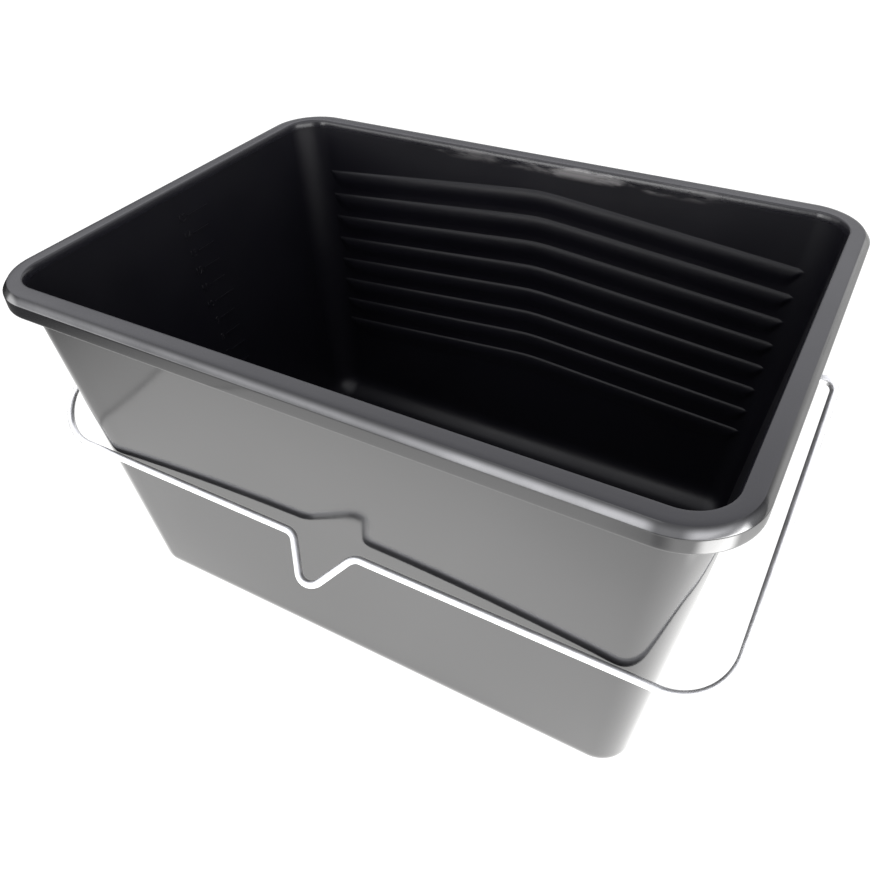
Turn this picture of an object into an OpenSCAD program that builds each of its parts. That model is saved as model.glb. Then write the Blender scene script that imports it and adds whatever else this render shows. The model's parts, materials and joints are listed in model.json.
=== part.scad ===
// Paint scuttle: a deep rectangular plastic tub for loading a paint roller,
// carried by a wire bail.
// Origin: centre of the base, on the floor. +X along the long side,
// +Y towards the back wall with the roller ribs, +Z up. Millimetres.

/* [Tub] */
// Length over the rim, along X
rim_length = 384; // [350:1:420]
// Width over the rim, along Y
rim_width = 276.4; // [250:0.2:300]
// Height from the floor to the top of the rim
tub_height = 215; // [200:1:240]
// Thickness of the walls
wall = 2.2; // [1.8:0.1:3]
// Thickness of the floor
floor_thick = 2.6; // [2.2:0.1:4]
// How far each end wall leans in from rim to base
end_lean = 22.8; // [16:0.2:26]
// How far each long wall leans in from rim to base
side_lean = 18.2; // [12:0.2:22]
// Outer corner radius just under the rim
corner_top = 21; // [17:0.5:24]
// Outer corner radius at the base
corner_base = 17; // [15:0.5:22]
// Rounding between the walls and the base
base_round = 13; // [8:0.5:14.5]

/* [Rim] */
// Width of the flange along the two long sides, outer edge to the opening
flange_side = 12.2; // [9:0.1:14]
// Width of the flange along the two ends
flange_end = 11.4; // [9:0.1:14]
// Thickness of the flange
flange_thick = 2.2; // [1.8:0.1:3]
// Height of the turned-down skirt
skirt_height = 11; // [8:0.5:13]
// Thickness of the skirt
skirt_thick = 2; // [1.6:0.1:3]
// Outer corner radius of the rim
rim_corner = 33; // [24:0.5:36]

/* [Roller ribs] */
// Number of ribs on the back wall
rib_count = 8; // [4:1:9]
// Height of the top rib's upper edge at its peak
rib_top = 195.8; // [190:0.2:199]
// Spacing of the ribs at the peak
rib_pitch = 16.7; // [14:0.1:17]
// Fall of the top rib's arms, in degrees
rib_fall_top = 5.4; // [2:0.1:7]
// Fall of the bottom rib's arms, in degrees
rib_fall_low = 4.5; // [2:0.1:7]
// How far a rib's edge stands off the wall
rib_out = 1.5; // [1:0.1:3]
// Height of a rib's section, from its edge to where it runs out
rib_height = 13; // [10:0.5:14]
// Distance from the middle to the end of the top rib
rib_half = 163; // [140:1:163]
// How far the ribs sit off centre, towards +X
rib_shift = 2; // [0:0.5:2]

/* [Fill scale] */
// Highest litre mark
litre_max = 15; // [8:1:15]
// Lowest litre mark
litre_min = 2; // [1:1:6]
// Length of a mark
mark_length = 16; // [8:1:24]
// Height a mark stands off the wall
mark_out = 0.5; // [0.3:0.1:0.8]

/* [Handle] */
// Wire diameter
wire_dia = 4; // [3.5:0.1:4.5]
// Height of the pivot above the floor
pivot_z = 196; // [192:0.5:197]
// Distance from the middle to the centre of each arm, on average
arm_x = 199.5; // [197:0.5:204]
// How far the bent wire sits off centre towards -X
arm_shift = 0.8; // [0:0.1:1.5]
// How far the notch sits off centre towards -X
notch_shift = 3.9; // [0:0.1:6]
// Distance from the pivot to the crossbar
reach = 152; // [150:0.5:160]
// Bend radius between arm and crossbar, to the wire's centre
elbow_radius = 27; // [15:0.5:35]
// Bend radius of the hook at the pivot, to the wire's centre
hook_radius = 5; // [4:0.5:6]
// Angle of the handle below level, resting against the front wall
rest_angle = 37; // [36:0.1:37]
// Depth of the hanging notch in the crossbar
notch_depth = 21; // [10:0.5:25]
// Half the width of the notch
notch_half = 23; // [20:0.5:30]
// Bend radius in the notch, to the wire's centre
notch_radius = 8; // [5:0.5:9]

/* [Ears] */
// Radial clearance of the wire in its bore
eye_gap = 0.3; // [0.2:0.05:0.5]
// Radius of the rounded lower end of an ear
ear_radius = 10; // [8:0.5:12]
// Thickness of the ear plate
ear_thick = 3; // [2:0.1:3.2]

/* [Hidden] */
hull_facets = 32;
wire_facets = 48;

// Outer half-sizes [x, y] of the tub at the rim and at the base
lean = [end_lean, side_lean];
top_half = [rim_length / 2 - flange_end + wall, rim_width / 2 - flange_side + wall];
base_half = top_half - lean;
end_draft = atan(end_lean / tub_height);
side_draft = atan(side_lean / tub_height);
wall_top = tub_height - flange_thick / 2; // the walls end inside the flange
cavity_over = 5; // the cavity runs on past the rim so that the opening is clean
cavity_corner_extra = 1; // added to the cavity's corner radius at the floor

ear_x = rim_length / 2 - skirt_thick - ear_thick; // inner face of the ear plate
web_x = top_half.x - end_lean * 0.12;
web_thick = 2;
web_drop = 3; // below the pivot
bore_over = 1;

rib_step = 1.5; // each rib's arms are this much shorter than those above
rib_root = 0.4; // sunk into the wall
rib_overlap = 0.3; // the arms cross at the peak
rib_end_angle = 40;

corner_loss = 0.86 * 18 * 18; // area that the round corners take off a level
litre_offset = 0.11; // litres taken off the drafted box
mark_root = 0.8; // sunk into the wall
mark_height = 1.2;
mark_start = -2; // Y of the mark's front end
mark_rim_gap = 8; // least distance from a mark to the rim

wire_radius = wire_dia / 2;
wire_end_inset = 3.5; // the wire's end lies this far inside the ear plate
// Wire runs stop short of a knuckle by this length, or this angle on a notch bend
joint_gap = 0.1;
joint_angle = joint_gap / notch_radius * 57.3;

// Slope of the notch's flanks, and where they meet their bends
notch_chord = [2 * notch_radius - notch_depth, notch_half];
notch_angle = atan2(notch_half, notch_chord.x) - acos(2 * notch_radius / norm(notch_chord));
flank_dir = [cos(notch_angle), sin(notch_angle)];
flank_length = (notch_half - 2 * notch_radius * sin(notch_angle)) / cos(notch_angle);
flank_low = [
  notch_radius * sin(notch_angle),
  -reach - notch_depth + notch_radius * (1 - cos(notch_angle))
];
flank_high = flank_low + flank_length * flank_dir;

// Half-sizes [x, y] of the cavity at a height
function inner_half(z) = base_half - [wall, wall] + lean * z / tub_height;

// Cavity volume in litres up to a height, by Simpson's rule on the drafted box
function level_area(z) = let (half = inner_half(z)) 4 * half.x * half.y - corner_loss;
function litres(z) = (z - floor_thick) / 6e6 *
  (level_area(floor_thick) + 4 * level_area((z + floor_thick) / 2) + level_area(z))
  - litre_offset;

// Height at which the cavity holds a volume in litres, by bisection
function fill_height(volume, low = 3, high = 260, steps = 24) =
  let (middle = (low + high) / 2)
  steps == 0 ? middle :
  litres(middle) < volume ? fill_height(volume, middle, high, steps - 1)
                          : fill_height(volume, low, middle, steps - 1);

// Builds its child at the +X end and mirrored at the -X end
module both_ends() {
  children();
  mirror([1, 0, 0]) children();
}

// A rectangle with round corners, centred
module round_rect(length, width, radius) {
  square([length - 2 * radius, width], center = true);
  square([length, width - 2 * radius], center = true);
  for (x = [-1, 1], y = [-1, 1])
    translate([x * (length / 2 - radius), y * (width / 2 - radius)])
      circle(r = radius, $fn = 96);
}

// How far a bottom round shifts out to touch a wall leaning at an angle
function round_shift(edge, angle) = edge * (1 - (1 - sin(angle)) / cos(angle));

// A drafted box with round corners and a rounded bottom edge. The walls are
// planes through half-sizes top at z1 and base at z0.
module drafted_box(top, base, top_radius, base_radius, edge, z0, z1) {
  slice = 0.01;
  shift_x = round_shift(edge, atan((top.x - base.x) / (z1 - z0)));
  shift_y = round_shift(edge, atan((top.y - base.y) / (z1 - z0)));
  hull() for (x = [-1, 1], y = [-1, 1]) {
    translate([x * (top.x - top_radius), y * (top.y - top_radius), z1 - slice])
      cylinder(r = top_radius, h = slice, $fn = hull_facets);
    translate([
      x * (base.x - base_radius + shift_x),
      y * (base.y - base_radius + shift_y),
      z0 + edge
    ])
      rotate_extrude($fn = hull_facets) translate([base_radius - edge, 0])
        intersection() {
          circle(r = edge, $fn = hull_facets);
          translate([0, -edge]) square([edge, edge * 2]);
        }
  }
}

module outer_form() {
  drafted_box(top_half, base_half, corner_top, corner_base, base_round, 0, wall_top);
}

module cavity() {
  z1 = tub_height + cavity_over;
  drafted_box(inner_half(z1), inner_half(floor_thick), corner_top - wall,
              corner_base - wall + cavity_corner_extra, base_round, floor_thick, z1);
}

// Flange with its turned-down skirt
module rim() {
  translate([0, 0, tub_height - flange_thick]) linear_extrude(flange_thick)
    round_rect(rim_length, rim_width, rim_corner);
  translate([0, 0, tub_height - skirt_height]) linear_extrude(skirt_height) difference() {
    round_rect(rim_length, rim_width, rim_corner);
    round_rect(rim_length - 2 * skirt_thick, rim_width - 2 * skirt_thick,
               rim_corner - skirt_thick);
  }
}

// Ear under the rim at one end: a plate with a round lower end and two webs
module ear() {
  rise = wall_top - pivot_z;
  translate([ear_x, 0, pivot_z]) {
    rotate([0, 90, 0]) cylinder(r = ear_radius, h = ear_thick, $fn = 64);
    translate([0, -ear_radius, 0]) cube([ear_thick, 2 * ear_radius, rise]);
  }
  for (side = [-1, 1])
    translate([web_x, side * (ear_radius - web_thick / 2) - web_thick / 2, pivot_z - web_drop])
      cube([ear_x - web_x + ear_thick / 2, web_thick, rise + web_drop]);
}

module eye_bore() {
  translate([ear_x - bore_over, 0, pivot_z]) rotate([0, 90, 0])
    cylinder(r = wire_radius + eye_gap, h = ear_thick + 2 * bore_over, $fn = wire_facets);
}

// Section of a rib: X runs off the wall, Y runs up it. A crisp upper edge, a
// rounded face and a long run-out below.
module rib_section() {
  polygon([
    [-rib_root, 0], [0, 0],
    [rib_out * 0.45, -0.4], [rib_out * 0.76, -2], [rib_out * 0.95, -4.4], [rib_out, -6.5],
    [0, -rib_height], [-rib_root, -rib_height]
  ]);
}

// One arm of a rib on the back wall, from the peak towards +X. Its end is cut
// on the slant: the edge runs furthest and the foot stops short of the corner.
module rib_arm(z, fall, length) {
  translate([0, inner_half(z).y, z]) rotate([-side_draft, 0, 0]) rotate([0, fall, 0])
    difference() {
      translate([-rib_overlap, 0, 0]) rotate([90, 0, 90]) linear_extrude(length + rib_overlap)
        mirror([1, 0]) rib_section();
      translate([length, -4, 0]) rotate([0, rib_end_angle, 0])
        translate([0, 0, -24]) cube([20, 8, 26]);
    }
}

module ribs() {
  for (i = [0:rib_count - 1]) {
    fall = rib_fall_top + (rib_fall_low - rib_fall_top) * i / (rib_count - 1);
    translate([rib_shift, 0, 0]) both_ends()
      rib_arm(rib_top - i * rib_pitch, fall, rib_half - i * rib_step);
  }
}

// Raised litre marks on the inside of the -X end wall
module marks() {
  for (volume = [litre_min:litre_max]) {
    z = fill_height(volume);
    if (z < tub_height - mark_rim_gap)
      translate([-inner_half(z).x, 0, z]) rotate([0, -end_draft, 0])
        translate([-mark_root, mark_start, -mark_height / 2])
          cube([mark_root + mark_out, mark_length, mark_height]);
  }
}

module tub() color([0.05, 0.05, 0.06]) {
  difference() {
    union() {
      outer_form();
      rim();
      both_ends() ear();
    }
    cavity();
    both_ends() eye_bore();
  }
  ribs();
  marks();
}

// A round bend in the XY plane about the origin, from a start angle through a sweep
module bend(radius, start, sweep) {
  rotate([0, 0, start]) rotate_extrude(angle = sweep, $fn = 96)
    translate([radius, 0]) circle(r = wire_radius, $fn = wire_facets);
}

// Straight wire from one point to another in the XY plane
module straight(from, to) {
  run = to - from;
  translate([from.x, from.y, 0]) rotate([0, 0, atan2(run.y, run.x)])
    rotate([0, 90, 0]) cylinder(r = wire_radius, h = norm(run), $fn = wire_facets);
}

// Joins two runs of wire that meet at a point, each stopping just short of it
module knuckle(point) {
  translate([point.x, point.y, 0]) sphere(r = wire_radius + 0.02, $fn = wire_facets);
}

// One side of the handle, in its own plane: the pivot is on the X axis and the
// crossbar lies at -reach in Y. The arm runs at arm, the notch's middle is at notch.
module half_handle(arm, notch) {
  elbow = [arm - elbow_radius, -reach + elbow_radius];
  straight([ear_x - wire_end_inset, 0], [arm - hook_radius, 0]);
  translate([arm - hook_radius, -hook_radius, 0]) bend(hook_radius, 0, 90);
  straight([arm, -hook_radius], [arm, elbow.y]);
  translate([elbow.x, elbow.y, 0]) bend(elbow_radius, -90, 90);
  straight([notch + notch_half + joint_gap, -reach], [elbow.x, -reach]);
  // Shoulder of the notch, and the flank that runs down to its tip
  translate([notch, 0, 0]) {
    knuckle([notch_half, -reach]);
    translate([notch_half, -reach - notch_radius, 0])
      bend(notch_radius, 90 + joint_angle, notch_angle - 2 * joint_angle);
    knuckle(flank_high);
    straight(flank_low + joint_gap * flank_dir, flank_high - joint_gap * flank_dir);
    knuckle(flank_low);
  }
}

module wire_handle() color([0.82, 0.83, 0.85]) {
  tip_angle = notch_angle - joint_angle;
  translate([0, 0, pivot_z]) rotate([rest_angle, 0, 0]) {
    half_handle(arm_x - arm_shift, -notch_shift);
    mirror([1, 0, 0]) half_handle(arm_x + arm_shift, notch_shift);
    translate([-notch_shift, -reach - notch_depth + notch_radius, 0])
      bend(notch_radius, -90 - tip_angle, 2 * tip_angle);
  }
}

tub();
wire_handle();
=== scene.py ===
"""A black plastic tub with a wire handle.

The tub stands on z = 0 with its long sides along X: front is -Y, back +Y,
left -X and right +X. The back wall carries chevron roller ribs inside, the
left end wall a litre scale. The handle pivots in an ear under the rim at each
end and rests swung down towards the front.
"""
import bpy, bmesh, json, math
from mathutils import Vector, Matrix


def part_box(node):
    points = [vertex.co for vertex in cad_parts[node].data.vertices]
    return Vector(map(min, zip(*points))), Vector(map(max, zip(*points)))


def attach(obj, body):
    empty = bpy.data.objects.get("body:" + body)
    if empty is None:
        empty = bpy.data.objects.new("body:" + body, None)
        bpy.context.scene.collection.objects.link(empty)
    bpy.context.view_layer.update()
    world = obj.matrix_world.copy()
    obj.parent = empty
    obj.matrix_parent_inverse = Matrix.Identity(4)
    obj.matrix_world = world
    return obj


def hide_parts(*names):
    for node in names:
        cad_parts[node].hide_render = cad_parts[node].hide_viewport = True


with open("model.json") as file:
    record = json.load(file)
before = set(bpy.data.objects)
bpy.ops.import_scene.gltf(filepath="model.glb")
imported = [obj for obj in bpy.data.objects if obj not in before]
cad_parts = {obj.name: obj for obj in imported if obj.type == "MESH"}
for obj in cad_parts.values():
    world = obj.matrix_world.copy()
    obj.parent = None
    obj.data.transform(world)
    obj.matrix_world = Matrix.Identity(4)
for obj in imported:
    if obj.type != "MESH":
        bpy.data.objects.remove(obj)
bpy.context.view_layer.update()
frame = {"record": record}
tub_lo, tub_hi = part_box("tub")
wire_lo, wire_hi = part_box("wire_handle")
joint = frame["record"]["behaviour"]["joints"][0]

# ---------------------------------------------------------------- sizes
# Shapes are worked out in millimetres and turned to metres as meshes are made.
MM = 1000.0                                # millimetres in a metre
RIM_X = (tub_hi.x - tub_lo.x) / 2 * MM     # half sizes over the rim
RIM_Y = (tub_hi.y - tub_lo.y) / 2 * MM
RIM_CORNER = 33.0
TOP_Z = tub_hi.z * MM
PIVOT_Z = joint["pos_m"][2] * MM

WALL = 2.2
FLOOR = 2.6
FLANGE_T = 2.2
FLANGE_SIDE, FLANGE_END = 12.2, 11.4       # flange width along the long sides and the ends
SKIRT_T, SKIRT_H = 2.0, 11.0
END_LEAN, SIDE_LEAN = 22.8, 18.2           # how far the walls lean out from z = 0 to the top
END_ANGLE = math.atan(END_LEAN / TOP_Z)
SIDE_ANGLE = math.atan(SIDE_LEAN / TOP_Z)
BASE_X = RIM_X - FLANGE_END + WALL - END_LEAN    # outer wall planes at z = 0
BASE_Y = RIM_Y - FLANGE_SIDE + WALL - SIDE_LEAN
BASE_CORNER, TOP_CORNER = 18.0, 21.0       # outer corner radius of the wall, low and high
MIN_CORNER = 0.4
INNER_ROUND, OUTER_ROUND = 15.6, 13.0      # rounds between wall and floor, inside and outside

# Material slots of the tub
OUTSIDE, INSIDE, RIM, EDGE = range(4)


def lerp(a, b, t): return a + (b - a) * t
def clamp(t): return max(0.0, min(1.0, t))
def outer_x(z): return BASE_X + END_LEAN * z / TOP_Z
def outer_y(z): return BASE_Y + SIDE_LEAN * z / TOP_Z
def inner_x(z): return outer_x(z) - WALL
def inner_y(z): return outer_y(z) - WALL
def outer_corner(z): return lerp(BASE_CORNER, TOP_CORNER, clamp(z / TOP_Z))
def inner_corner(z): return outer_corner(z) - WALL


def smooth(t):
    t = clamp(t)
    return t * t * (3 - 2 * t)


def sin_cos(degrees):
    return math.sin(math.radians(degrees)), math.cos(math.radians(degrees))


# ---------------------------------------------------------------- mesh helpers
def new_mesh(bm, name):
    mesh = bpy.data.meshes.new(name)
    bm.to_mesh(mesh)
    bm.free()
    return mesh


def solid_mesh(bm, name):
    bmesh.ops.recalc_face_normals(bm, faces=bm.faces)
    return new_mesh(bm, name)


def add_verts(bm, points):
    """Vertices, in metres, at points in millimetres."""
    return [bm.verts.new((x / MM, y / MM, z / MM)) for x, y, z in points]


def bridge(bm, ring, following):
    """Quads between two closed rings of vertices."""
    faces = []
    for j in range(len(ring)):
        k = (j + 1) % len(ring)
        faces.append(bm.faces.new((ring[j], ring[k], following[k], following[j])))
    return faces


def link(mesh, name):
    ob = bpy.data.objects.new(name, mesh)
    bpy.context.scene.collection.objects.link(ob)
    return ob


def join(meshes, name):
    """One object from several meshes."""
    bm = bmesh.new()
    for mesh in meshes:
        bm.from_mesh(mesh)
        bpy.data.meshes.remove(mesh)
    return link(new_mesh(bm, name), name)


# ---------------------------------------------------------------- ring columns
# A ring is a rounded rectangle. Its columns run anticlockwise from the left
# end of the front side. A column is (kind, side, value): the value runs from
# -1 to 1 along a side, and in degrees round the corner that follows the side.
SIDE_STEPS = (("F", 44), ("R", 28), ("B", 56), ("L", 28))
SIDE_CROWDING = 0.55                       # how much the columns close up near a side's ends
NORMAL = {"F": -90.0, "R": 0.0, "B": 90.0, "L": 180.0}    # outward, degrees
CORNER_SIGNS = {"F": (1, -1), "R": (1, 1), "B": (-1, 1), "L": (-1, -1)}
HALF_CORNER = [1.2, 2.5, 4, 6, 8, 10.5, 13, 16, 19.5, 23.5, 28, 33, 39, 45]
CORNER_ANGLES = HALF_CORNER + [90 - angle for angle in reversed(HALF_CORNER[:-1])]


def side_values(count):
    values = []
    for i in range(count + 1):
        t = -1 + 2 * i / count
        size = abs(math.sin(t * math.pi / 2)) * SIDE_CROWDING + abs(t) * (1 - SIDE_CROWDING)
        values.append(math.copysign(size, t))
    return values


COLUMNS = []
for side, count in SIDE_STEPS:
    COLUMNS += [("side", side, value) for value in side_values(count)]
    COLUMNS += [("corner", side, angle) for angle in CORNER_ANGLES]


def ring_xy(column, half_x, half_y, radius):
    kind, side, value = column
    flat_x, flat_y = half_x - radius, half_y - radius
    if kind == "side":
        return {"F": (value * flat_x, -half_y), "R": (half_x, value * flat_y),
                "B": (-value * flat_x, half_y), "L": (-half_x, -value * flat_y)}[side]
    angle = math.radians(NORMAL[side] + value)
    sign_x, sign_y = CORNER_SIGNS[side]
    return sign_x * flat_x + radius * math.cos(angle), sign_y * flat_y + radius * math.sin(angle)


def column_normal(column):
    """Direction of a column's outward normal, in radians."""
    kind, side, value = column
    return math.radians(NORMAL[side] + (value if kind == "corner" else 0.0))


# ---------------------------------------------------------------- moulding sink
SINK = {"F": 3.3, "B": 1.0, "R": 1.4, "L": 1.4}    # greatest depth on each wall
SINK_LOW, SINK_HIGH = 12, 204                      # heights where it starts and ends
SINK_POWER = 0.85
SINK_EASE = 0.92                                   # it eases to nothing from here to a side's end


def sink_across(value):
    """Sideways shape of the sink: a parabola, eased out near the corners."""
    size = abs(value)
    if size <= SINK_EASE:
        return 1 - size * size
    width = 1 - SINK_EASE
    t = (size - SINK_EASE) / width
    level, slope = 1 - SINK_EASE ** 2, -2 * SINK_EASE * width
    return level * (2 * t ** 3 - 3 * t ** 2 + 1) + slope * (t ** 3 - 2 * t ** 2 + t)


def sink_depth(column, z):
    """How far a wall has sunk inwards at a column and a height."""
    kind, side, value = column
    if kind != "side":
        return 0.0
    t = clamp((z - SINK_LOW) / (SINK_HIGH - SINK_LOW))
    return SINK[side] * sink_across(value) * math.sin(math.pi * t) ** SINK_POWER


def sunk(column, x, y, z):
    depth = sink_depth(column, z)
    normal = column_normal(column)
    return x - depth * math.cos(normal), y - depth * math.sin(normal)


# ---------------------------------------------------------------- roller ribs
# Chevrons on the inside of the back wall, highest at the middle.
RIBS, RIB_TOP, RIB_PITCH = 8, 195.8, 16.7
RIB_OUT, RIB_DEPTH = 1.5, 13.0             # how far a rib stands out, and its height on the wall
RIB_CREST = RIB_DEPTH / 2
RIB_END, RIB_END_STEP = 163.0, 1.5         # half length of the top rib, and its loss per rib
RIB_SHIFT = 2.0                            # the chevrons' middle in x
RIB_CUT = math.tan(math.radians(40))       # the ends are cut on the slant, shorter at the foot
RIB_FADE = 1.2                             # length over which an end sinks into the wall
RIB_PEAK = 7.0                             # rounding of the chevron's peak
SLOPE_LOW, SLOPE_HIGH, SLOPE_LOW_Z = 0.0785, 0.0945, 68    # fall per mm, low and top ribs
# Rows across one rib, measured up from its upper edge
RIB_ROWS = [0.7, 0.0, -0.1, -0.4, -0.9, -1.7, -2.8, -4.2, -6.5, -8.5, -10.5, -11.8, -13.0]
ROWS_ABOVE = (209.8, 208.3, 206.3, 204.2, 201.6)           # heights of rows over the ribs
ROWS_BELOW, LOWEST_ROW = 12, 18.6


def rib_fall(x, peak_z, end):
    """How far the chevron whose peak is at peak_z has fallen at x from the middle."""
    slope = lerp(SLOPE_LOW, SLOPE_HIGH, clamp((peak_z - SLOPE_LOW_Z) / (RIB_TOP - SLOPE_LOW_Z)))
    reach = min(abs(x), end)
    return slope * (math.sqrt(reach * reach + RIB_PEAK ** 2) - RIB_PEAK)


def rib_height(s):
    """How far a rib stands out at s above its upper edge (negative below it)."""
    if s >= 0 or s <= -RIB_DEPTH:
        return 0.0
    if s > -RIB_CREST:
        return RIB_OUT * max(0.0, 1 - abs((s + RIB_CREST) / RIB_CREST) ** 2.4) ** 0.5
    t = (s + RIB_CREST) / -RIB_CREST
    return RIB_OUT * (1 - t) * (1 - 0.12 * t)


def inner_rows():
    """Rows of the inner wall from the rim down: (height at the peak, rib height,
    half length of the chevron, chevron weight, half length of the rib in this row)."""
    rows = []
    first = ROWS_ABOVE[0]
    for z in ROWS_ABOVE:
        weight = clamp((first - z) / (first - RIB_TOP - RIB_ROWS[0]))
        rows.append((z, 0.0, RIB_END, weight, RIB_END))
    for i in range(RIBS):
        upper_edge = RIB_TOP - i * RIB_PITCH
        end = RIB_END - i * RIB_END_STEP
        for s in RIB_ROWS:
            rows.append((upper_edge + s, rib_height(s), end, 1.0, end - RIB_CUT * max(0.0, -s)))
    foot = RIB_TOP - (RIBS - 1) * RIB_PITCH - RIB_DEPTH
    for i in range(1, ROWS_BELOW + 1):
        t = i / ROWS_BELOW
        rows.append((lerp(foot, LOWEST_ROW, t), 0.0, RIB_END - RIBS * RIB_END_STEP, 1 - t, 0.0))
    return rows


def inner_point(column, row):
    kind, side, _ = column
    peak_z, height, end, weight, stop = row
    # The back wall and its two corners follow the chevrons; the rest is level.
    at_back = side == "B" or (side == "R" and kind == "corner")
    reach = end
    if at_back:
        level_x, _ = ring_xy(column, inner_x(peak_z), inner_y(peak_z), inner_corner(peak_z))
        reach = abs(level_x - RIB_SHIFT)
    z = peak_z - weight * rib_fall(reach, peak_z, end)
    half_y = inner_y(z)
    x, y = ring_xy(column, inner_x(z), half_y, inner_corner(z))
    if height > 0 and at_back:
        fade = 1 - smooth((abs(x - RIB_SHIFT) - stop + RIB_FADE) / RIB_FADE)
        out = height * fade - (half_y - y)
        if out > 0:
            y -= out * math.cos(SIDE_ANGLE)
            z += out * math.sin(SIDE_ANGLE)
    x, y = sunk(column, x, y, z)
    return x, y, z


# ---------------------------------------------------------------- tub skin
class Skin:
    """Rings of points, each with the material slot of the faces leading up to it."""

    def __init__(self):
        self.rings = []
        self.slots = []

    def add(self, points, slot):
        self.rings.append(points)
        self.slots.append(slot)

    def level(self, z, half_x, half_y, radius, slot, sunken=False):
        points = []
        for column in COLUMNS:
            x, y = ring_xy(column, half_x, half_y, radius)
            if sunken:
                x, y = sunk(column, x, y, z)
            points.append((x, y, z))
        self.add(points, slot)

    def inset(self, z, inset, slot):
        """A level ring set in from the outside of the rim."""
        self.level(z, RIM_X - inset, RIM_Y - inset, RIM_CORNER - inset, slot)

    def round(self, radius, z, centre, corner, slot, steps):
        """A round between floor (step 0) and leaning walls (step 1), centred at height z."""
        for step in steps:
            half_x = centre[0] + radius * math.cos(lerp(-math.pi / 2, -END_ANGLE, step))
            half_y = centre[1] + radius * math.cos(lerp(-math.pi / 2, -SIDE_ANGLE, step))
            points = []
            for column in COLUMNS:
                end_share = math.cos(column_normal(column)) ** 2
                lean = END_ANGLE * end_share + SIDE_ANGLE * (1 - end_share)
                angle = lerp(-math.pi / 2, -lean, step)
                ring_corner = corner - radius + radius * math.cos(angle)
                x, y = ring_xy(column, half_x, half_y, max(ring_corner, MIN_CORNER))
                points.append((x, y, z + radius * math.sin(angle)))
            self.add(points, slot)

    def mesh(self, name):
        bm = bmesh.new()
        grid = [add_verts(bm, ring) for ring in self.rings]
        for ring, following, slot in zip(grid, grid[1:], self.slots[1:]):
            for face in bridge(bm, ring, following):
                face.material_index = slot
        floor_middle = bm.faces.new(grid[0])
        floor_middle.material_index = INSIDE
        floor_middle.normal_flip()
        base_middle = bm.faces.new(grid[-1])
        base_middle.material_index = OUTSIDE
        bm.normal_update()
        mesh = solid_mesh(bm, name)
        mesh.polygons.foreach_set("use_smooth", [True] * len(mesh.polygons))
        return mesh


def round_centre(wall_x, wall_y, z, radius):
    """Centre lines of a round that touches the end and side walls."""
    return (wall_x(z) - radius / math.cos(END_ANGLE), wall_y(z) - radius / math.cos(SIDE_ANGLE))


FLOOR_CROWN = 0.55         # rise of the floor's middle
FLOOR_SCALES = (0.06, 0.25, 0.45, 0.65, 0.82, 0.94)
INNER_ROUND_STEPS = (0, .08, .17, .27, .38, .5, .62, .74, .86, 1.0)
OUTER_ROUND_STEPS = (1.0, .9, .78, .66, .54, .42, .31, .21, .12, .05, 0)
BASE_SCALES = (0.97, 0.9, 0.7, 0.45, 0.2, 0.05)
OUTER_ROWS = 30
OUTER_ROW_GAP = 1.5        # from the lowest row of the outer wall to its round

# The lip drops further than it reaches, so the opening's edge is crisp.
LIP_REACH, LIP_DROP = 1.1, 4.4
LIP_ANGLES = (90, 78, 66, 54, 43, 33, 24, 16, 9)
SAG, SAG_REACH = 0.06, 3.0     # the flange rises by this, over this, from the lip
# The flange rolls off elliptically until it leans ROLL_END degrees.
ROLL_REACH, ROLL_DROP, ROLL_END = 3.2, 0.5, 20
ROLL_LEANS = (2.5, 5, 7.5, 10, 13, 16, 20)
# Arcs from the roll-off to the skirt: a crease, the leaning shoulder, a turn, the skirt's top.
# (lean at start, lean at end, radius, leans of the rows, slot)
EDGE_ARCS = (
    (ROLL_END, 46, 0.2, (28, 37, 46), EDGE),
    (46, 54, 32.0, (47, 48, 49, 50, 51, 52, 53, 54), EDGE),
    (54, 87, 0.6, (62, 70, 79, 87), OUTSIDE),
    (87, 90, 14.0, (88.5, 90), OUTSIDE),
)
EDGE_REACH = sum(radius * (sin_cos(end)[0] - sin_cos(start)[0])
                 for start, end, radius, _, _ in EDGE_ARCS)
SKIRT_LOW = TOP_Z - SKIRT_H
# Rows at the skirt's lower edge: (height above it, inset)
SKIRT_FOOT = ((0.8, 0.02), (0.22, 0.05), (0.06, 0.12), (0, 0.26))
FOOT_INNER_INSET = 0.4     # round inside the skirt's foot
FILLET = 1.2               # fillets under the flange


def roll(lean):
    """Reach and drop of the roll-off where it leans this many degrees."""
    angle = math.atan(ROLL_REACH / ROLL_DROP * math.tan(math.radians(lean)))
    return ROLL_REACH * math.sin(angle), ROLL_DROP * (1 - math.cos(angle))


def add_inside(skin):
    """From the middle of the floor up to the lip."""
    z = FLOOR + INNER_ROUND
    corner = inner_corner(z)
    centre = round_centre(inner_x, inner_y, z, INNER_ROUND)
    for k in FLOOR_SCALES:
        skin.level(FLOOR + FLOOR_CROWN * (1 - k * k), centre[0] * k, centre[1] * k,
                   max((corner - INNER_ROUND) * k, MIN_CORNER), INSIDE)
    skin.round(INNER_ROUND, z, centre, corner, INSIDE, INNER_ROUND_STEPS)
    for row in reversed(inner_rows()):
        skin.add([inner_point(column, row) for column in COLUMNS], INSIDE)


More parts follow.
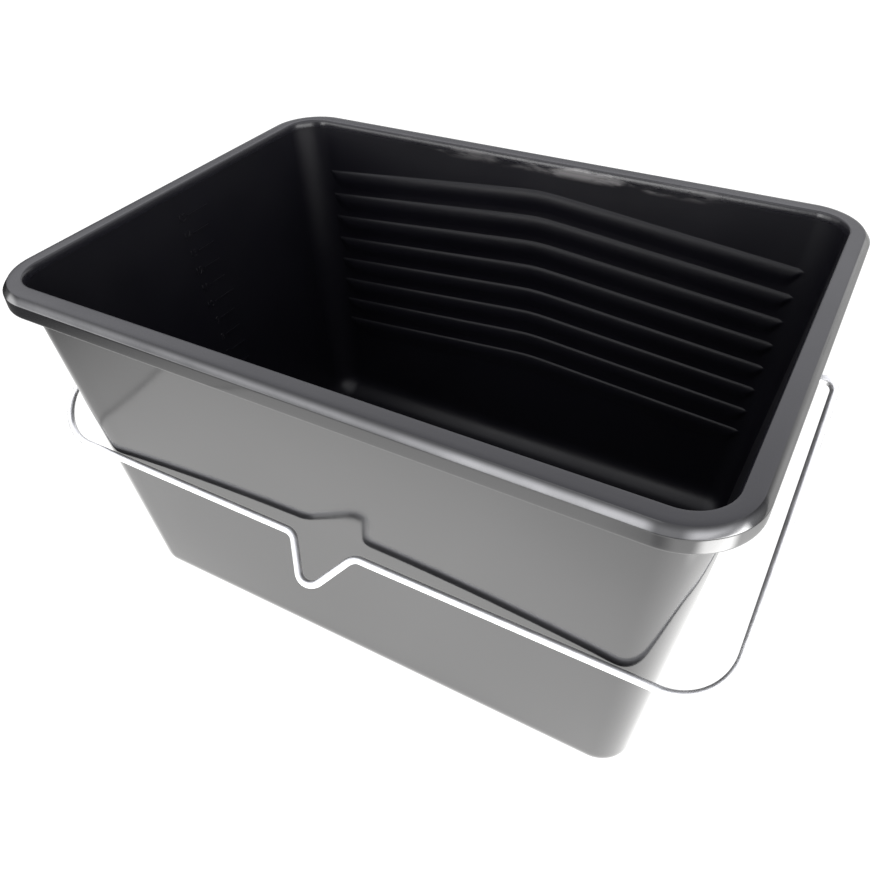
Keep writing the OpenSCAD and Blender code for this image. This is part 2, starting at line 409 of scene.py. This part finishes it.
def add_flange(skin):
    """The lip of the opening, the flange and its roll-off."""
    low_x, low_y = inner_x(TOP_Z - LIP_DROP), inner_y(TOP_Z - LIP_DROP)
    lift_x, lift_y = inner_x(TOP_Z) - low_x, inner_y(TOP_Z) - low_y
    low_corner = inner_corner(TOP_Z)
    lip_corner = low_corner + LIP_REACH
    for angle in LIP_ANGLES:
        sine, cosine = sin_cos(angle)
        out = 1 - sine
        skin.level(TOP_Z - SAG - LIP_DROP + LIP_DROP * cosine,
                   low_x + lift_x * cosine + LIP_REACH * out,
                   low_y + lift_y * cosine + LIP_REACH * out,
                   lerp(low_corner, lip_corner, out), INSIDE if angle == 90 else RIM)

    flat_inset = EDGE_REACH + roll(ROLL_END)[0]
    start_x, start_y = inner_x(TOP_Z) + LIP_REACH, inner_y(TOP_Z) + LIP_REACH
    width_x, width_y = RIM_X - flat_inset - start_x, RIM_Y - flat_inset - start_y
    sag_share = SAG_REACH / width_y
    # (share of the flange's width, height)
    rows = [(v * sag_share, TOP_Z - SAG * (1 - v) ** 2) for v in (0.0, 0.2, 0.45, 0.7, 1.0)]
    rows += [(lerp(sag_share, 1.0, v), TOP_Z) for v in (0.35, 0.7, 1.0)]
    for share, z in rows:
        skin.level(z, start_x + width_x * share, start_y + width_y * share,
                   lerp(lip_corner, RIM_CORNER - flat_inset, share), RIM)
    for lean in ROLL_LEANS:
        reach, drop = roll(lean)
        skin.inset(TOP_Z - drop, flat_inset - reach, RIM)


def add_skirt(skin):
    """The shoulder and the outside of the skirt, downwards."""
    inset, z = EDGE_REACH, TOP_Z - roll(ROLL_END)[1]
    for start, end, radius, leans, slot in EDGE_ARCS:
        start_sin, start_cos = sin_cos(start)
        for lean in leans:
            sine, cosine = sin_cos(lean)
            skin.inset(z - radius * (start_cos - cosine), inset - radius * (sine - start_sin), slot)
        end_sin, end_cos = sin_cos(end)
        z -= radius * (start_cos - end_cos)
        inset -= radius * (end_sin - start_sin)
    skin.inset(lerp(z, SKIRT_LOW, 0.3), 0.0, OUTSIDE)
    skin.inset(lerp(z, SKIRT_LOW, 0.6), 0.01, OUTSIDE)
    for rise, inset in SKIRT_FOOT:
        skin.inset(SKIRT_LOW + rise, inset, OUTSIDE)


def add_underside(skin):
    """Up the inside of the skirt and across under the flange to the wall."""
    under = TOP_Z - FLANGE_T
    skin.inset(SKIRT_LOW, SKIRT_T - FOOT_INNER_INSET, OUTSIDE)
    for z in (SKIRT_LOW + FOOT_INNER_INSET, SKIRT_LOW + 3, under - 1.6):
        skin.inset(z, SKIRT_T, OUTSIDE)
    for angle in (30, 60, 90):
        sine, cosine = sin_cos(angle)
        skin.inset(under - FILLET + FILLET * sine, SKIRT_T + FILLET - FILLET * cosine, OUTSIDE)
    for angle in (90, 60, 30, 0):
        sine, cosine = sin_cos(angle)
        z = under - FILLET + FILLET * sine
        out = FILLET - FILLET * cosine
        skin.level(z, outer_x(z) + out, outer_y(z) + out, outer_corner(z) + out, OUTSIDE)


def add_outside(skin):
    """Down the outer wall and in to the middle of the base."""
    top = TOP_Z - FLANGE_T - FILLET
    for i in range(1, OUTER_ROWS + 1):
        z = lerp(top, OUTER_ROUND + OUTER_ROW_GAP, i / OUTER_ROWS)
        skin.level(z, outer_x(z), outer_y(z), outer_corner(z), OUTSIDE, sunken=True)
    corner = outer_corner(OUTER_ROUND)
    centre = round_centre(outer_x, outer_y, OUTER_ROUND, OUTER_ROUND)
    skin.round(OUTER_ROUND, OUTER_ROUND, centre, corner, OUTSIDE, OUTER_ROUND_STEPS)
    for k in BASE_SCALES:
        skin.level(0.0, centre[0] * k, centre[1] * k,
                   max((corner - OUTER_ROUND) * k, MIN_CORNER), OUTSIDE)


def tub_mesh():
    skin = Skin()
    for add_part in (add_inside, add_flange, add_skirt, add_underside, add_outside):
        add_part(skin)
    return skin.mesh("tub_shell")


# ---------------------------------------------------------------- ears
EAR_R, EAR_T = 10.0, 3.0
EAR_OUTER_X = RIM_X - SKIRT_T
EAR_TOP = TOP_Z - FLANGE_T / 2
EAR_ROUND = 0.5                            # rounding of the plate's edges
EAR_FACE_MARGIN = 0.25                     # flat ring beyond the rounding
EAR_HOLE_R = 2.3
EAR_STEPS = 96
WEB_Y, WEB_T = 9.0, 1.8
WEB_SINK = 0.9                             # how far a web runs into the wall
WEB_BELOW_PIVOT = 3
WEB_CUT_X, WEB_CUT_Z = 1.2, 2.2            # its lower outer corner, cut off


def ear_plate():
    """A plate with a round lower end, in rings from the hole round the edge and back."""
    x0, x1 = EAR_OUTER_X - EAR_T, EAR_OUTER_X
    rise = EAR_TOP - PIVOT_Z
    corner = math.atan2(rise, EAR_R)
    angles = [2 * math.pi * i / EAR_STEPS for i in range(EAR_STEPS)]
    angles = sorted(angles + [corner, math.pi - corner])

    def hole(x, offset):
        radius = EAR_HOLE_R + offset
        return [(x, radius * math.cos(a), PIVOT_Z + radius * math.sin(a)) for a in angles]

    def edge(x, offset):
        points = []
        for angle in angles:
            cosine, sine = math.cos(angle), math.sin(angle)
            radius = EAR_R - offset
            if sine > 1e-6:
                radius = min(radius / max(abs(cosine), 1e-6), (rise - offset) / sine)
            points.append((x, radius * cosine, PIVOT_Z + radius * sine))
        return points

    # (offset, depth below the rounding's start)
    rounding = []
    for angle in (0, 22.5, 45, 67.5, 90):
        sine, cosine = sin_cos(angle)
        rounding.append((EAR_ROUND - EAR_ROUND * cosine, EAR_ROUND * sine))
    face = EAR_ROUND + EAR_FACE_MARGIN
    back = rounding[::-1]
    rings = [hole(x0 + EAR_ROUND - depth, offset) for offset, depth in rounding]
    rings += [hole(x0, face), edge(x0, face)]
    rings += [edge(x0 + EAR_ROUND - depth, offset) for offset, depth in back]
    rings += [edge(x1 - EAR_ROUND + depth, offset) for offset, depth in rounding]
    rings += [edge(x1, face), hole(x1, face)]
    rings += [hole(x1 - EAR_ROUND + depth, offset) for offset, depth in back]

    bm = bmesh.new()
    grid = [add_verts(bm, ring) for ring in rings]
    for i, ring in enumerate(grid):
        for quad in bridge(bm, ring, grid[(i + 1) % len(grid)]):
            quad.smooth = True
    return solid_mesh(bm, "ear_plate")


def ear_web(y0, y1):
    """An upright web from the plate to the wall; its inner edge leans with the wall."""
    outer = EAR_OUTER_X - EAR_T / 2
    low = PIVOT_Z - WEB_BELOW_PIVOT
    outline = ((outer_x(low) - WEB_SINK, low), (outer - WEB_CUT_X, low),
               (outer, low + WEB_CUT_Z), (outer, EAR_TOP),
               (outer_x(EAR_TOP) - WEB_SINK, EAR_TOP))
    bm = bmesh.new()
    near, far = [add_verts(bm, [(x, y, z) for x, z in outline]) for y in (y0, y1)]
    bm.faces.new(near[::-1])
    bm.faces.new(far)
    bridge(bm, near, far)
    return solid_mesh(bm, "ear_web")


def ear_meshes(sign):
    """The ear under the rim at the right end (sign 1) or the left (sign -1)."""
    meshes = [ear_plate()]
    for y in (-WEB_Y, WEB_Y):
        meshes.append(ear_web(y - WEB_T / 2, y + WEB_T / 2))
    if sign < 0:
        for mesh in meshes:
            mesh.transform(Matrix.Scale(-1, 4, (1, 0, 0)))
            mesh.flip_normals()
    return meshes


# ---------------------------------------------------------------- fill scale
LITRE_MIN, LITRE_MAX = 2, 15
LITRE_OFFSET = -0.11                       # trim on the volume
SCALE_COLUMN = ("side", "L", 0.03)         # where the wall's sink is taken
TICK_LOW = (-2.0, -0.6, -0.9)              # along the wall, up it, out of it
TICK_HALF_T, TICK_OUT = 0.6, 0.45
TICK_LENGTH, LONG_TICK_LENGTH = 12.0, 16.0
LONG_EVERY = 5
DIGIT_HEIGHT, FONT_SCALE = 4.6, 1.42       # font size per height of a digit
DIGIT_HALF_T = 0.5
DIGIT_PLACE = (-3.4, 0, -0.05)


def level_area(z):
    return 4 * inner_x(z) * inner_y(z) - 0.86 * BASE_CORNER * BASE_CORNER


def litres(z):
    """Volume up to a height, by the prismoid rule."""
    areas = level_area(FLOOR) + 4 * level_area((z + FLOOR) / 2) + level_area(z)
    return (z - FLOOR) / 6e6 * areas + LITRE_OFFSET


def fill_height(volume):
    low, high = 3.0, 260.0
    for _ in range(30):
        middle = (low + high) / 2
        if litres(middle) < volume:
            low = middle
        else:
            high = middle
    return (low + high) / 2


def box_mesh(low, high, name):
    """A box in millimetres."""
    bm = bmesh.new()
    verts = [bm.verts.new((x, y, z)) for x in (low[0], high[0])
             for y in (low[1], high[1]) for z in (low[2], high[2])]
    for quad in ((0, 1, 3, 2), (4, 6, 7, 5), (0, 4, 5, 1), (2, 3, 7, 6), (0, 2, 6, 4), (1, 5, 7, 3)):
        bm.faces.new([verts[i] for i in quad])
    return solid_mesh(bm, name)


def digits_mesh(value):
    """A number as a thin solid in the XY plane, in millimetres, ending at x = 0."""
    curve = bpy.data.curves.new("digits", "FONT")
    curve.body = str(value)
    curve.size = DIGIT_HEIGHT * FONT_SCALE
    curve.extrude = DIGIT_HALF_T
    curve.resolution_u = 3
    curve.align_x = "RIGHT"
    curve.align_y = "CENTER"
    ob = link(curve, "digits")
    depsgraph = bpy.context.evaluated_depsgraph_get()
    mesh = bpy.data.meshes.new_from_object(ob.evaluated_get(depsgraph))
    bpy.data.objects.remove(ob)
    bpy.data.curves.remove(curve)
    bm = bmesh.new()
    bm.from_mesh(mesh)
    bmesh.ops.remove_doubles(bm, verts=bm.verts, dist=0.001)
    # Swap diagonals so that no slivers are left.
    bmesh.ops.beautify_fill(bm, faces=bm.faces, edges=bm.edges, method='AREA')
    bm.to_mesh(mesh)
    bm.free()
    return mesh


def scale_meshes():
    """Litre marks and numbers on the inside of the left end wall."""
    along = Vector((0, 1, 0))
    up = Vector((-math.sin(END_ANGLE), 0, math.cos(END_ANGLE)))
    inward = Vector((math.cos(END_ANGLE), 0, math.sin(END_ANGLE)))
    meshes = []
    for value in range(LITRE_MIN, LITRE_MAX + 1):
        z = fill_height(value)
        on_wall = Matrix((along, up, inward)).transposed().to_4x4()
        on_wall.translation = Vector((-inner_x(z) + sink_depth(SCALE_COLUMN, z), 0, z))
        length = TICK_LENGTH if value % LONG_EVERY else LONG_TICK_LENGTH
        tick = box_mesh(TICK_LOW, (length, TICK_HALF_T, TICK_OUT), "tick")
        number = digits_mesh(value)
        number.transform(Matrix.Translation(DIGIT_PLACE))
        for mesh in (tick, number):
            mesh.transform(on_wall)
            mesh.transform(Matrix.Scale(1 / MM, 4))
            meshes.append(mesh)
    return meshes


# ---------------------------------------------------------------- the handle
# The centre line is drawn in the handle's own plane, (x, y) from the pivot axis,
# with negative y towards the grip.
WIRE_R = 2.0
ARM_RIGHT = wire_hi.x * MM - WIRE_R        # where the two arms run
ARM_LEFT = -wire_lo.x * MM - WIRE_R
PIN_PAST_EAR = 3.5                         # how far each end reaches past its ear
REACH, BEND_R, HOOK_R = 152.0, 27.0, 5.0
NOTCH_DEPTH, NOTCH_HALF_W, NOTCH_R = 21.0, 23.0, 8.0
NOTCH_X = -3.9                             # the notch sits a little off centre
REST = math.radians(37.0)                  # tilt of the handle's plane below level
WIRE_SIDES = 28
# Rounded ends of the wire: (distance from the end, cut off the radius)
WIRE_END = ((0.0, 0.45), (0.13, 0.13), (0.45, 0.0))


def arc(centre_x, centre_y, radius, start, end, steps):
    points = []
    for i in range(steps + 1):
        angle = math.radians(start + (end - start) * i / steps)
        points.append((centre_x + radius * math.cos(angle), centre_y + radius * math.sin(angle)))
    return points


def half_handle(arm, notch_x):
    """Centre line from one end of the wire to the middle of the notch."""
    # The notch's two arcs and the straight between them meet at this turn.
    gap = 2 * NOTCH_R - NOTCH_DEPTH
    turn = math.degrees(math.atan2(NOTCH_HALF_W, gap)
                        - math.acos(2 * NOTCH_R / math.hypot(gap, NOTCH_HALF_W)))
    points = [(EAR_OUTER_X - EAR_T - PIN_PAST_EAR, 0.0), (arm - HOOK_R - 2, 0.0)]
    points += arc(arm - HOOK_R, -HOOK_R, HOOK_R, 90, 0, 12)
    points += [(arm, lerp(-HOOK_R, -REACH + BEND_R, i / 8)) for i in range(1, 8)]
    points += arc(arm - BEND_R, -REACH + BEND_R, BEND_R, 0, -90, 24)
    notch_start = notch_x + NOTCH_HALF_W
    points += [(lerp(arm - BEND_R, notch_start, i / 12), -REACH) for i in range(1, 12)]
    points += arc(notch_start, -REACH - NOTCH_R, NOTCH_R, 90, 90 + turn, 12)
    sine, cosine = sin_cos(turn)
    flank_x, flank_y = points[-1]
    tip_x = notch_x + NOTCH_R * sine
    tip_y = -REACH - NOTCH_DEPTH + NOTCH_R * (1 - cosine)
    points += [(lerp(flank_x, tip_x, i / 4), lerp(flank_y, tip_y, i / 4)) for i in range(1, 4)]
    points += arc(notch_x, -REACH - NOTCH_DEPTH + NOTCH_R, NOTCH_R, -90 + turn, -90, 10)
    return points


def wire_mesh():
    left_half = half_handle(ARM_LEFT, -NOTCH_X)[:-1]
    outline = half_handle(ARM_RIGHT, NOTCH_X) + [(-x, y) for x, y in reversed(left_half)]
    path = [Vector((x, y * math.cos(REST), PIVOT_Z + y * math.sin(REST))) for x, y in outline]
    plane_normal = Vector((0, -math.sin(REST), math.cos(REST)))
    turns = [2 * math.pi * i / WIRE_SIDES for i in range(WIRE_SIDES)]
    bm = bmesh.new()
    rings = []

    def add_ring(point, tangent, radius):
        side = tangent.cross(plane_normal).normalized()
        rings.append([bm.verts.new((point + radius * (math.cos(turn) * side
                                                      + math.sin(turn) * plane_normal)) / MM)
                      for turn in turns])

    tangent = (path[1] - path[0]).normalized()
    for distance, cut in WIRE_END:
        add_ring(path[0] + tangent * distance, tangent, WIRE_R - cut)
    for before, point, after in zip(path, path[1:], path[2:]):
        tangent = ((point - before).normalized() + (after - point).normalized()).normalized()
        add_ring(point, tangent, WIRE_R)
    tangent = (path[-1] - path[-2]).normalized()
    for distance, cut in reversed(WIRE_END):
        add_ring(path[-1] - tangent * distance, tangent, WIRE_R - cut)

    for ring, following in zip(rings, rings[1:]):
        bridge(bm, ring, following)
    bm.faces.new(rings[0])
    bm.faces.new(rings[-1][::-1])
    mesh = solid_mesh(bm, "wire_bail")
    mesh.polygons.foreach_set("use_smooth", [len(p.vertices) == 4 for p in mesh.polygons])
    return mesh


tub = link(tub_mesh(), "tub_shell")
ears = join(ear_meshes(1) + ear_meshes(-1), "tub_ears")
marks = join(scale_meshes(), "tub_fill_scale")
wire = link(wire_mesh(), "wire_bail")


# ---------------------------------------------------------------- shader graphs
class Graph:
    """Short-hand for node trees. Values are sockets or constants."""

    def __init__(self, tree):
        self.tree = tree

    def node(self, kind, inputs=None, **properties):
        made = self.tree.nodes.new(kind)
        for name, value in properties.items():
            setattr(made, name, value)
        for key, value in (inputs or {}).items():
            if isinstance(value, bpy.types.NodeSocket):
                self.tree.links.new(value, made.inputs[key])
            else:
                made.inputs[key].default_value = value
        return made

    def coords(self, space="Object"):
        return self.node("ShaderNodeTexCoord").outputs[space]

    def split(self, vector):
        return self.node("ShaderNodeSeparateXYZ", {0: vector}).outputs

    def noise(self, vector, scale, detail, roughness=0.5):
        return self.node("ShaderNodeTexNoise", {
            "Vector": vector, "Scale": scale, "Detail": detail, "Roughness": roughness,
        }).outputs["Fac"]

    def ramp(self, fac, stops):
        """Stops are (position, colour), in order."""
        made = self.node("ShaderNodeValToRGB", {"Fac": fac})
        elements = made.color_ramp.elements
        for element, (position, color) in zip(elements, (stops[0], stops[-1])):
            element.position = position
            element.color = color
        for position, color in stops[1:-1]:
            elements.new(position).color = color
        return made.outputs["Color"]

    def math(self, operation, a, b=0.0):
        return self.node("ShaderNodeMath", {0: a, 1: b}, operation=operation).outputs[0]

    def add(self, a, b): return self.math("ADD", a, b)
    def mul(self, a, b): return self.math("MULTIPLY", a, b)

    def total(self, terms):
        result, *rest = terms
        for term in rest:
            result = self.add(result, term)
        return result

    def step(self, value, span, levels=(0.0, 1.0), kind="SMOOTHSTEP"):
        """From the first level to the second as the value crosses the span."""
        return self.node("ShaderNodeMapRange", {
            "Value": value, "From Min": span[0], "From Max": span[1],
            "To Min": levels[0], "To Max": levels[1]}, interpolation_type=kind).outputs["Result"]

    def length(self, x, y):
        return self.math("SQRT", self.add(self.mul(x, x), self.mul(y, y)))

    def spot(self, x, y, centre, radius, flat=0.0):
        """1 within flat of the centre of a round spot, easing to 0 at its radius."""
        distance = self.length(self.add(x, -centre[0]), self.add(y, -centre[1]))
        return self.step(distance, (flat, radius), (1.0, 0.0))


def fresh_graph(owner):
    """An empty node tree for a material or a world."""
    owner.use_nodes = True
    owner.node_tree.nodes.clear()
    return Graph(owner.node_tree)


# ---------------------------------------------------------------- materials
def surface(name, shader, cloud, stops, haze, haze_span, roughness, grain, bump):
    """A surface with clouded colour, hazy roughness and a fine bumpy grain.

    cloud, haze and grain are noise settings, stops the colours over the cloud.
    """
    material = bpy.data.materials.new(name)
    graph = fresh_graph(material)
    output = graph.node("ShaderNodeOutputMaterial")
    bsdf = graph.node("ShaderNodeBsdfPrincipled", shader)
    coords = graph.coords()
    color = graph.ramp(graph.noise(coords, **cloud), stops)
    rough = graph.step(graph.noise(coords, **haze), haze_span, roughness, "LINEAR")
    bumps = graph.node("ShaderNodeBump", {"Height": graph.noise(coords, **grain), **bump})
    links = graph.tree.links
    links.new(color, bsdf.inputs["Base Color"])
    links.new(rough, bsdf.inputs["Roughness"])
    links.new(bumps.outputs["Normal"], bsdf.inputs["Normal"])
    links.new(bsdf.outputs["BSDF"], output.inputs["Surface"])
    return material


def plastic(name, color, roughness, bump, grain_scale, specular=0.5):
    """Injection-moulded black polypropylene."""
    return surface(
        name,
        shader={"IOR": 1.49, "Specular IOR Level": specular},
        cloud=dict(scale=14, detail=4),
        stops=[(position, tuple(c * gain for c in color) + (1,))
               for position, gain in ((0.3, 0.86), (0.7, 1.14))],
        haze=dict(scale=22, detail=6, roughness=0.65),
        haze_span=(0.3, 0.75),
        roughness=roughness,
        grain=dict(scale=grain_scale, detail=3),
        bump={"Strength": bump, "Distance": 0.0004})


def zinc_wire():
    """Bright zinc-plated drawn steel wire."""
    return surface(
        "zinc_wire",
        shader={"Metallic": 1.0},
        cloud=dict(scale=90, detail=5),
        stops=[(0.32, (0.80, 0.81, 0.82, 1)), (0.68, (0.93, 0.93, 0.94, 1))],
        haze=dict(scale=160, detail=6),
        haze_span=(0.3, 0.7),
        roughness=(0.36, 0.50),
        grain=dict(scale=900, detail=2),
        bump={"Strength": 0.15, "Distance": 0.0002})


def principled(material):
    return next(n for n in material.node_tree.nodes if n.type == "BSDF_PRINCIPLED")


def polish(material):
    """Painted highlight on the shoulder: it shines more below its crease, and its shine is stepped
    along x to paint a bright band and a painted dark reflection near the right corner.
    """
    graph = Graph(material.node_tree)
    coords = graph.coords()
    place = graph.split(coords)
    shine_noise = graph.noise(coords, scale=60, detail=3)
    down = graph.step(place["Z"], ((TOP_Z - 2.6) / MM, (TOP_Z - 0.4) / MM), (1.0, 0.0))
    # Steps of the painted highlight's shine along x, in metres, added up: (span, levels)
    along = graph.total([graph.step(place["X"], span, levels) for span, levels in (
        ((0.055, 0.100), (1.9, 3.6)),
        ((-0.150, -0.060), (0.9, 0.0)),
        ((0.155, 0.161), (0.0, -3.0)),
        ((0.168, 0.174), (0.0, 2.6)),
    )])
    patchy = graph.step(shine_noise, span=(0.30, 0.70), levels=(0.88, 1.08))
    gain = graph.mul(graph.mul(down, along), patchy)
    plain_specular = 0.5
    graph.tree.links.new(graph.add(gain, plain_specular),
                         principled(material).inputs["Specular IOR Level"])


def film(material):
    """Painted glare highlight: patchy pale grey streaks in the base colour along the top of the back
    wall and its lip.
    """
    graph = Graph(material.node_tree)
    base_color = principled(material).inputs["Base Color"]
    plain_color = base_color.links[0].from_socket
    coords = graph.coords()
    place = graph.split(coords)
    stretched = graph.node("ShaderNodeMapping", {"Vector": coords, "Scale": (26, 60, 110)})
    patches = graph.noise(stretched.outputs["Vector"], scale=1.0, detail=5, roughness=0.62)
    # Steps of the painted glare's strength along x, in metres: (span, change)
    mask = graph.total([graph.step(place["X"], span, (0.0, change)) for span, change in (
        ((-0.105, -0.090), 0.40),
        ((-0.012, 0.012), 0.60),
        ((0.068, 0.086), -0.62),
        ((0.100, 0.116), -0.38),
    )])
    # Limits towards the back, from below and from above, then the patches
    for value, span, levels in (
        (place["Y"], (0.105, 0.112), (0.0, 1.0)),
        (place["Z"], (0.2060, 0.2100), (0.0, 1.0)),
        (place["Z"], (0.2144, 0.2149), (1.0, 0.0)),
        (patches, (0.47, 0.63), (0.0, 1.0)),
    ):
        mask = graph.mul(mask, graph.step(value, span, levels))
    # Colour sockets of the mix: 0 factor, 6 and 7 colours, output 2 result
    glare_color = (0.155, 0.150, 0.150, 1)
    mix = graph.node("ShaderNodeMix", {0: mask, 6: plain_color, 7: glare_color}, data_type="RGBA")
    graph.tree.links.new(mix.outputs[2], base_color)


gloss = plastic("pp_black_gloss", color=(0.0085, 0.0085, 0.0095),
                roughness=(0.07, 0.07 + 0.05), bump=0.02, grain_scale=260)
inside = plastic("pp_black_inside", color=(0.0034, 0.0032, 0.0052),
                 roughness=(0.36, 0.36 + 0.10), bump=0.06, grain_scale=420, specular=0.30)
rim = plastic("pp_black_rim", color=(0.0085, 0.0082, 0.0110),
              roughness=(0.20, 0.20 + 0.08), bump=0.08, grain_scale=700)
edge = plastic("pp_black_edge", color=(0.0085, 0.0085, 0.0095),
               roughness=(0.10, 0.10 + 0.06), bump=0.04, grain_scale=420)
# Painted highlight on the rim's shoulder
polish(edge)
# Painted glare along the top of the back wall, inside and on the rim
film(inside)
film(rim)

for material in (gloss, inside, rim, edge):    # in slot order
    tub.data.materials.append(material)
ears.data.materials.append(gloss)
marks.data.materials.append(inside)
wire.data.materials.append(zinc_wire())

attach(tub, "tub_body")
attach(ears, "tub_body")
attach(marks, "tub_body")
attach(wire, "handle_body")
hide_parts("tub")
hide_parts("wire_handle")

# ---------------------------------------------------------------- floor
scene = bpy.context.scene
scene.view_settings.view_transform = "Standard"
FLOOR_HALF = 6.0                           # metres
FLOOR_DROP = 0.0002                        # keeps it clear of the tub's base


def floor_light(graph):
    """Light from the floor in reflections, over x and y in metres: brightest at the
    right, dim behind and past a sheet's left edge, dimmer close round the base."""
    geometry = graph.node("ShaderNodeNewGeometry")
    x, y, _ = graph.split(geometry.outputs["Position"])
    across = graph.step(x, (-0.33, 0.02), (0.62, 1.0), "LINEAR")
    across = graph.mul(across, graph.step(x, (0.13, 0.26), (0.95, 1.08)))
    away = graph.step(y, (-0.12, 0.13), (1.0, 0.22))
    # x measured square to the slanting left edge of the sheet
    sheet_x = graph.add(x, graph.mul(graph.add(y, 0.185), 0.343))
    past = graph.step(sheet_x, (-0.297, -0.293), (0.82, 1.0))
    fade = graph.step(sheet_x, (-0.56, -0.31), (0.10, 1.0))
    from_seam = graph.math("ABSOLUTE", graph.add(sheet_x, 0.294))
    seam = graph.step(from_seam, (0.0, 0.006), (0.55, 1.0))
    # distance outside a rectangle about the base
    outside = [graph.math("MAXIMUM", graph.add(graph.math("ABSOLUTE", value), -half), 0.0)
               for value, half in ((x, 0.150), (y, 0.100))]
    near = graph.step(graph.length(*outside), (0.0, 0.115), (0.78, 1.0))
    level = graph.mul(graph.mul(graph.mul(across, away), graph.mul(past, fade)),
                      graph.mul(near, seam))
    overall, bright_gain, dark_gain = 3.3, 10.0, 0.55
    bright = graph.spot(x, y, centre=(0.395, -0.190), radius=0.130, flat=0.055)
    dark = graph.spot(x, y, centre=(0.165, -0.345), radius=0.095)
    level = graph.add(graph.mul(level, overall), graph.mul(bright, bright_gain))
    return graph.mul(level, graph.math("SUBTRACT", 1.0, graph.mul(dark, dark_gain)))


def floor_material():
    """Plain white to the camera, unevenly lit to every other ray."""
    material = bpy.data.materials.new("floor_pale")
    graph = fresh_graph(material)
    seen = graph.node("ShaderNodeEmission", {"Color": (1, 1, 1, 1), "Strength": 1.15})
    reflected = graph.node("ShaderNodeEmission", {
        "Color": (1.0, 0.995, 0.985, 1), "Strength": floor_light(graph)})
    mix = graph.node("ShaderNodeMixShader", {
        "Fac": graph.node("ShaderNodeLightPath").outputs["Is Camera Ray"],
        1: reflected.outputs[0], 2: seen.outputs[0]})
    graph.node("ShaderNodeOutputMaterial", {"Surface": mix.outputs[0]})
    return material


floor_mesh = bpy.data.meshes.new("floor")
floor_mesh.from_pydata([(sx * FLOOR_HALF, sy * FLOOR_HALF, 0)
                        for sx, sy in ((-1, -1), (1, -1), (1, 1), (-1, 1))], [], [(0, 1, 2, 3)])
floor = link(floor_mesh, "floor")
floor.location.z = -FLOOR_DROP
floor_mesh.materials.append(floor_material())

# ---------------------------------------------------------------- world
DEGREES_PER_RADIAN = 57.29578
ROOM_GAIN = 2.0
BLUE_TINT = 1.04
# Grey of the room by height of the view direction
ROOM_GREYS = ((0.20, 0.20), (0.33, 0.38), (0.39, 0.52), (0.44, 0.84), (0.60, 0.84), (0.75, 0.74))
# Bright bands near the horizon: (azimuth from, to, softness in degrees, strength)
WINDOW_BANDS = ((-113.0, -97.0, 2.5, 8.0), (-138.0, -113.0, 4.0, 3.6),
                (-170.0, -138.0, 4.0, 1.4), (-60.0, 8.0, 6.0, 5.2))


def build_world():
    """An even pale ceiling and a low window band, with a dark gap about the camera."""
    world = bpy.data.worlds.new("studio")
    scene.world = world
    graph = fresh_graph(world)
    x, y, z = graph.split(graph.coords("Generated"))
    azimuth = graph.mul(graph.math("ARCTAN2", y, x), DEGREES_PER_RADIAN)
    stops = [(0.0, (0.10, 0.10, 0.10, 1))]
    stops += [(height, (grey, grey, grey * BLUE_TINT, 1)) for height, grey in ROOM_GREYS]
    stops += [(1.0, (0.58, 0.58, 0.61, 1))]
    room = graph.ramp(z, stops)

    def band(start, end, soft):
        """1 between two azimuths, with soft ends."""
        return graph.mul(graph.step(azimuth, (start - soft, start + soft)),
                         graph.step(azimuth, (end - soft, end + soft), (1.0, 0.0)))

    def below(low, high):
        return graph.step(z, (low, high), (1.0, 0.0))

    windows = graph.total([graph.mul(band(start, end, soft), strength)
                           for start, end, soft, strength in WINDOW_BANDS])
    windows = graph.mul(windows, below(0.18, 0.34))
    # low behind the tub; a patch high in front; less light low at the back left
    behind = graph.mul(band(50.0, 140.0, soft=12.0), below(0.14, 0.30))
    high = graph.mul(band(-130.0, -90.0, soft=4.0),
                     graph.mul(graph.step(z, (0.66, 0.71)), below(0.77, 0.82)))
    dim = graph.mul(band(100.0, 146.0, soft=5.0), below(0.38, 0.50))
    light = graph.total([windows, graph.mul(behind, 1.2), graph.mul(high, 1.9),
                         graph.mul(dim, -0.34)])

    room = graph.node("ShaderNodeVectorMath", {0: room, "Scale": ROOM_GAIN}, operation="SCALE")
    grey = graph.node("ShaderNodeCombineXYZ", {0: light, 1: light, 2: light})
    both = graph.node("ShaderNodeVectorMath", {0: room.outputs[0], 1: grey.outputs[0]},
                      operation="ADD")
    background = graph.node("ShaderNodeBackground", {"Color": both.outputs[0], "Strength": 1.0})
    graph.node("ShaderNodeOutputWorld", {"Surface": background.outputs["Background"]})


build_world()

# ---------------------------------------------------------------- camera
CAMERA_PLACE = Vector((198.342, -339.949, 420.242)) / MM
CAMERA_TARGET = Vector((13.269, -35.408, 120.0)) / MM
CAMERA_ROLL = -0.041                       # radians
SENSOR_WIDTH, FOCAL_LENGTH = 36.0, 34.677931


def add_camera():
    data = bpy.data.cameras.new("camera")
    data.sensor_width = SENSOR_WIDTH
    data.lens = FOCAL_LENGTH
    data.clip_start = 0.01
    camera = link(data, "camera")
    forward = (CAMERA_TARGET - CAMERA_PLACE).normalized()
    level_right = forward.cross(Vector((0, 0, 1))).normalized()
    level_up = level_right.cross(forward)
    sine, cosine = math.sin(CAMERA_ROLL), math.cos(CAMERA_ROLL)
    right = cosine * level_right + sine * level_up
    up = -sine * level_right + cosine * level_up
    pose = Matrix((right, up, -forward)).transposed().to_4x4()
    pose.translation = CAMERA_PLACE
    camera.matrix_world = pose
    scene.camera = camera


add_camera()
